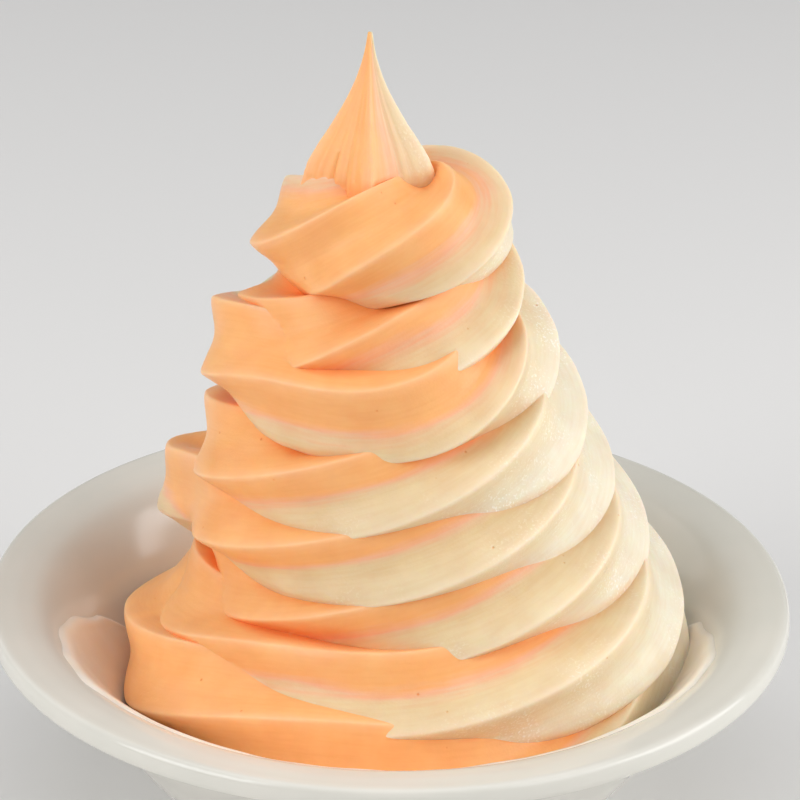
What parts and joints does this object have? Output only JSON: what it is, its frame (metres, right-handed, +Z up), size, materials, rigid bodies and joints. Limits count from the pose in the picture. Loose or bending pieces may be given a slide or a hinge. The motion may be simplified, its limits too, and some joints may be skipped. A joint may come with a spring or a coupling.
{
  "type": "bowl of soft serve ice cream",
  "caption": "Tall coiled swirl of orange and vanilla soft serve ice cream drawn up to a pointed peak, in a shallow glazed china bowl with a turned-out lip and a foot ring.",
  "frame": {"origin": "on the table under the middle of the bowl's foot ring", "axes": "+Z up towards the peak; -Y is the front, which the picture looks at from above; +X is the right, where the vanilla side of the rope shows"},
  "size_m": [0.15, 0.15, 0.1533],
  "materials": {
    "china": "gloss",
    "ice_cream": "satin"
  },
  "bodies": {
    "root": {"bowl": "china", "soft_serve": "ice_cream"}
  },
  "joints": []
}
